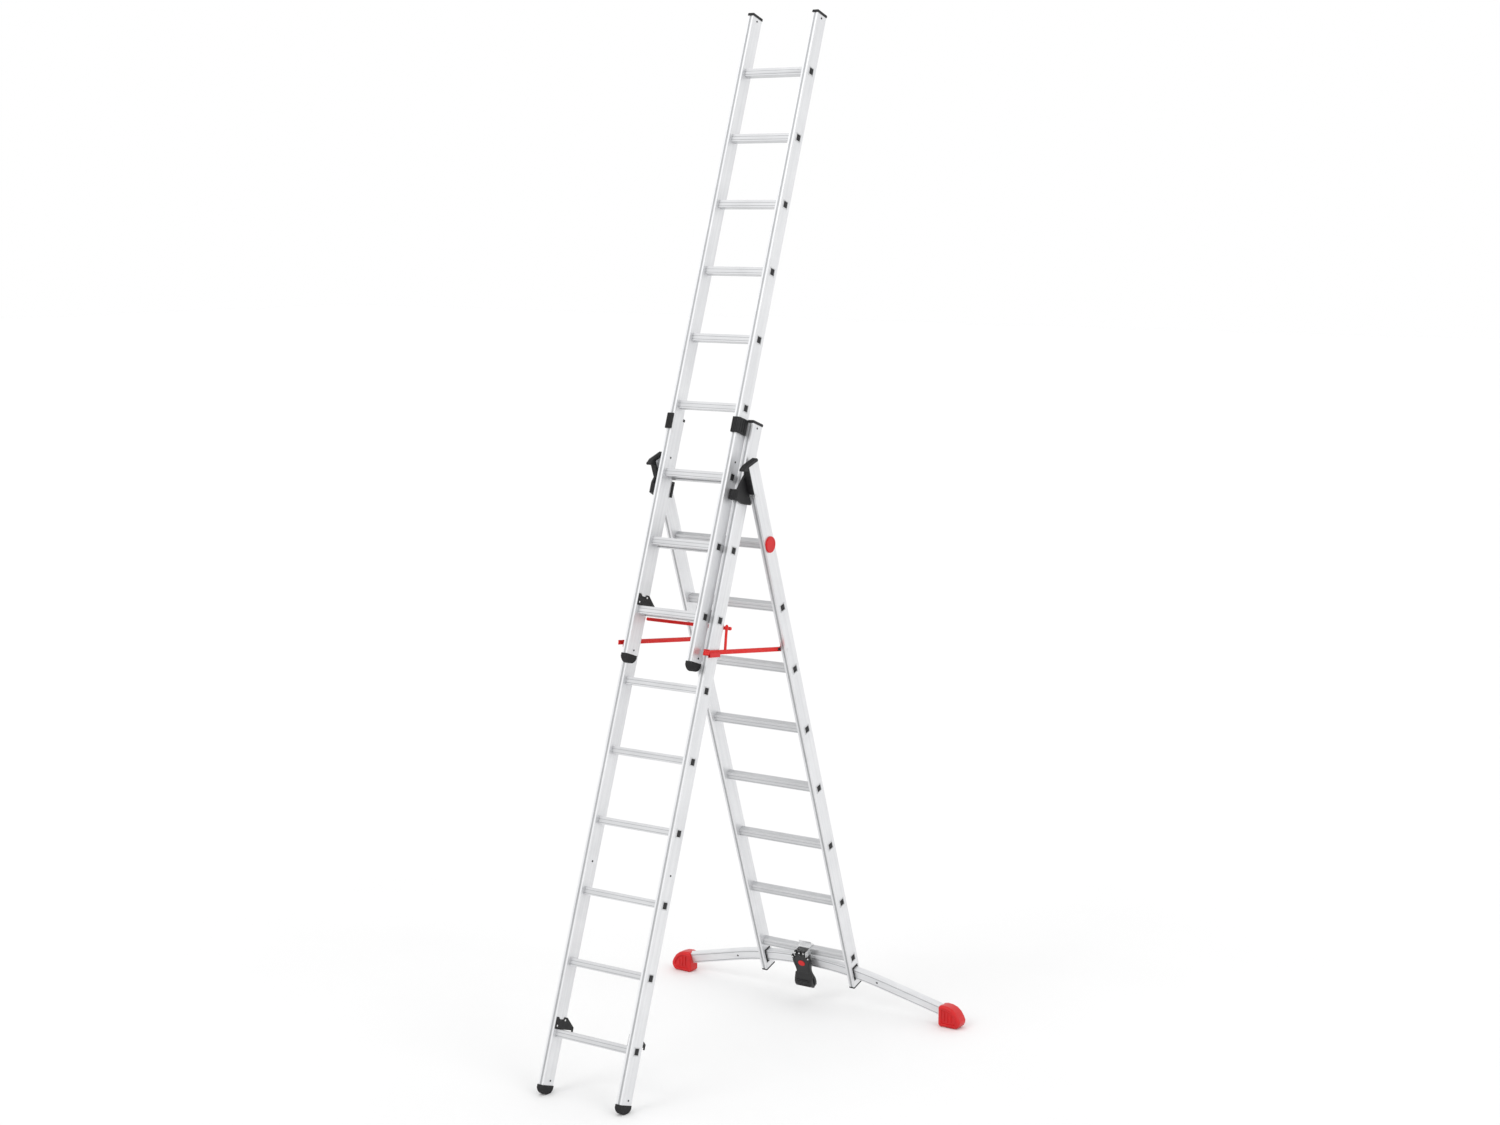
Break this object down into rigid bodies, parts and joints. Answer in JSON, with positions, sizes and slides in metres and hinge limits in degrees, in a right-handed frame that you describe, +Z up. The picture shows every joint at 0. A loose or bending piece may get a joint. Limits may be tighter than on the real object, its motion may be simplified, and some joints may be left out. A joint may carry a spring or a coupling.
{
  "type": "extension ladder",
  "caption": "Aluminium combination extension ladder standing as a braced A-frame, with a raised upper section, red spreader and curved stabiliser bar.",
  "frame": {"origin": "on the floor, midway across the width and midway between front and rear extremes", "axes": "+X across the ladder to the climber's right, +Y from the climbing side to the prop side, +Z up"},
  "size_m": [1.496, 1.6706, 4.199],
  "materials": {
    "aluminium": "mill-finish extruded aluminium, fine lengthwise grain",
    "black_rubber": "moulded rubber, matt",
    "black_plastic": "moulded nylon, fine texture",
    "black_steel": "powder-coated steel",
    "red_plastic": "moulded plastic, satin",
    "red_steel": "powder-coated steel",
    "bright_steel": "zinc-plated steel"
  },
  "bodies": {
    "lower_section": {"lower_stile_left": "aluminium", "lower_stile_right": "aluminium", "lower_rung_1": "aluminium", "lower_rung_2": "aluminium", "lower_rung_3": "aluminium", "lower_rung_4": "aluminium", "lower_rung_5": "aluminium", "lower_rung_6": "aluminium", "lower_rung_7": "aluminium", "lower_rung_8": "aluminium", "lower_rung_9": "aluminium", "lower_foot_left": "black_rubber", "lower_foot_right": "black_rubber", "lower_top_caps": "black_plastic", "guide_left": "black_plastic", "guide_right": "black_plastic", "lower_hook_left": "black_steel", "lower_hook_right": "black_steel", "hinge_collar_left": "black_plastic", "hinge_collar_right": "black_plastic", "spreader_catches": "red_plastic", "lower_rivets": "bright_steel"},
    "upper_section": {"upper_stile_left": "aluminium", "upper_stile_right": "aluminium", "upper_rung_1": "aluminium", "upper_rung_2": "aluminium", "upper_rung_3": "aluminium", "upper_rung_4": "aluminium", "upper_rung_5": "aluminium", "upper_rung_6": "aluminium", "upper_rung_7": "aluminium", "upper_rung_8": "aluminium", "upper_rung_9": "aluminium", "upper_feet": "black_rubber", "upper_top_caps": "black_plastic", "upper_hook_left": "black_steel", "upper_hook_right": "black_steel", "upper_rivets": "bright_steel"},
    "rear_section": {"rear_stile_left": "aluminium", "rear_stile_right": "aluminium", "rear_rung_1": "aluminium", "rear_rung_2": "aluminium", "rear_rung_3": "aluminium", "rear_rung_4": "aluminium", "rear_rung_5": "aluminium", "rear_rung_6": "aluminium", "rear_rung_7": "aluminium", "rear_rung_8": "aluminium", "rear_top_caps": "black_plastic", "rear_end_caps": "black_plastic", "slot_liners": "black_plastic", "badge": "red_plastic", "pivot_pins": "bright_steel", "pedal_saddle": "bright_steel"},
    "spreader_rail": {"spreader_crossbar": "red_steel"},
    "spreader_arms": {"spreader_bar_left": "red_steel", "spreader_bar_right": "red_steel"},
    "stabiliser": {"stabiliser_bar": "aluminium", "stabiliser_feet": "red_plastic"},
    "pedal": {"foot_pedal": "black_plastic"}
  },
  "joints": [
    {"name": "upper_slide", "type": "slide", "parent": "lower_section", "child": "upper_section", "axis": [0, 0.3247, 0.9458], "range_m": [-1.68, 0]},
    {"name": "rear_fold", "type": "hinge", "parent": "lower_section", "child": "rear_section", "pos_m": [0, 0.00413, 2.28653], "axis": [-1, 0, 0], "range_deg": [0, 36]},
    {"name": "spreader_rise", "type": "slide", "parent": "lower_section", "child": "spreader_rail", "axis": [0, 0.3355, 0.942], "range_m": [0, 0.246]},
    {"name": "spreader_turn", "type": "hinge", "parent": "spreader_rail", "child": "spreader_arms", "pos_m": [0, -0.14923, 1.78373], "axis": [-1, 0, 0], "range_deg": [0, 87.01]},
    {"name": "stabiliser_rock", "type": "hinge", "parent": "rear_section", "child": "stabiliser", "pos_m": [0, 1.2454, -1.21401], "axis": [0, 0.9449, 0.3272], "range_deg": [-5, 5]},
    {"name": "pedal_press", "type": "hinge", "parent": "rear_section", "child": "pedal", "pos_m": [0, 0.70192, 0.2201], "axis": [1, 0, 0], "range_deg": [0, 10], "stiffness_Nm_per_rad": 4, "springref_deg": -11.46}
  ],
  "couplings": [
    {"joint": "spreader_rise", "follows": "rear_fold", "m_per_rad": 0.39139},
    {"joint": "spreader_turn", "follows": "rear_fold", "ratio": 2.4167}
  ]
}
